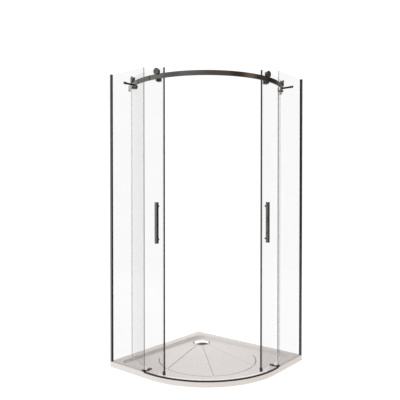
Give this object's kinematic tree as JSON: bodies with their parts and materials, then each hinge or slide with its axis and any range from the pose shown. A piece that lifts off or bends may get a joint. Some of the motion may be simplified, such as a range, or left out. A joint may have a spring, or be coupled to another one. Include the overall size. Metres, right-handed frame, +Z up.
{
  "type": "corner shower enclosure",
  "caption": "Quadrant shower enclosure with a low stone-resin tray, flat fixed panes and curved sliding glass doors that hang from rollers on an exposed dark metal rail",
  "frame": {"origin": "Middle of the tray's square footprint, on the floor", "axes": "+Z up; the walls are the planes x = -0.45 m and y = +0.45 m; the round front faces +X and -Y"},
  "size_m": [0.902, 0.902, 1.885],
  "materials": {
    "stone_resin": "matt cast stone resin with a fine speckle",
    "glass": "clear toughened glass",
    "gunmetal": "brushed gunmetal coating",
    "steel": "turned stainless steel",
    "chrome": "polished",
    "dark_plastic": "satin moulded plastic",
    "clear_seal": "clear extruded PVC",
    "rubber": "soft black rubber"
  },
  "bodies": {
    "enclosure": {"shower_tray": "stone_resin", "waste_flange": "chrome", "waste_seal": "rubber", "left_wall_profile": "gunmetal", "right_wall_profile": "gunmetal", "left_profile_cap": "gunmetal", "right_profile_cap": "gunmetal", "glazing_gaskets": "rubber", "left_fixed_glass": "glass", "right_fixed_glass": "glass", "base_gaskets": "clear_seal", "curved_rail": "gunmetal", "left_rail_socket": "gunmetal", "right_rail_socket": "gunmetal", "left_rail_standoff": "gunmetal", "right_rail_standoff": "gunmetal", "standoff_caps": "gunmetal", "standoff_washers": "rubber", "left_door_stop": "rubber", "right_door_stop": "rubber", "threshold_strip": "gunmetal", "left_door_guide": "dark_plastic", "right_door_guide": "dark_plastic"},
    "left_door": {"left_door_glass": "glass", "left_magnet_strip": "dark_plastic", "left_front_seal": "clear_seal", "left_rear_guard": "clear_seal", "left_door_seal": "clear_seal", "left_edge_foot": "dark_plastic", "left_handle": "gunmetal", "left_handle_bolts": "gunmetal", "left_front_hanger": "gunmetal", "left_rear_hanger": "gunmetal", "left_hanger_pads": "rubber", "left_hanger_bolts": "gunmetal", "left_hanger_clamps": "gunmetal", "left_roller_axles": "steel"},
    "right_door": {"right_door_glass": "glass", "right_magnet_strip": "dark_plastic", "right_front_seal": "clear_seal", "right_rear_guard": "clear_seal", "right_door_seal": "clear_seal", "right_edge_foot": "dark_plastic", "right_handle": "gunmetal", "right_handle_bolts": "gunmetal", "right_front_hanger": "gunmetal", "right_rear_hanger": "gunmetal", "right_hanger_pads": "rubber", "right_hanger_bolts": "gunmetal", "right_hanger_clamps": "gunmetal", "right_roller_axles": "steel"},
    "left_front_roller": {"left_front_wheel": "gunmetal"},
    "left_rear_roller": {"left_rear_wheel": "gunmetal"},
    "right_front_roller": {"right_front_wheel": "gunmetal"},
    "right_rear_roller": {"right_rear_wheel": "gunmetal"},
    "waste_lid": {"waste_cover": "chrome"}
  },
  "joints": [
    {"name": "left_door_slide", "type": "hinge", "parent": "enclosure", "child": "left_door", "pos_m": [-0.1, 0.1, 1], "axis": [0, 0, 1], "range_deg": [0, 35.64]},
    {"name": "right_door_slide", "type": "hinge", "parent": "enclosure", "child": "right_door", "pos_m": [-0.1, 0.1, 1], "axis": [0, 0, -1], "range_deg": [0, 35.64]},
    {"name": "left_front_wheel_spin", "type": "hinge", "parent": "left_door", "child": "left_front_roller", "pos_m": [-0.06218, -0.41511, 1.8508], "axis": [-0.0732, 0.9973, 0], "range_deg": [0, 1229]},
    {"name": "left_rear_wheel_spin", "type": "hinge", "parent": "left_door", "child": "left_rear_roller", "pos_m": [-0.32662, -0.36413, 1.8508], "axis": [0.4388, 0.8986, 0], "range_deg": [0, 1229]},
    {"name": "right_front_wheel_spin", "type": "hinge", "parent": "right_door", "child": "right_front_roller", "pos_m": [0.41511, 0.06218, 1.8508], "axis": [0.9973, -0.0732, 0], "range_deg": [0, 1229]},
    {"name": "right_rear_wheel_spin", "type": "hinge", "parent": "right_door", "child": "right_rear_roller", "pos_m": [0.36413, 0.32662, 1.8508], "axis": [0.8986, 0.4388, 0], "range_deg": [0, 1229]},
    {"name": "waste_lid_lift", "type": "slide", "parent": "enclosure", "child": "waste_lid", "axis": [0, 0, 1], "range_m": [0, 0.03]}
  ],
  "couplings": [
    {"joint": "left_front_wheel_spin", "follows": "left_door_slide", "ratio": 34.433},
    {"joint": "left_rear_wheel_spin", "follows": "left_door_slide", "ratio": 34.433},
    {"joint": "right_front_wheel_spin", "follows": "right_door_slide", "ratio": 34.433},
    {"joint": "right_rear_wheel_spin", "follows": "right_door_slide", "ratio": 34.433}
  ]
}
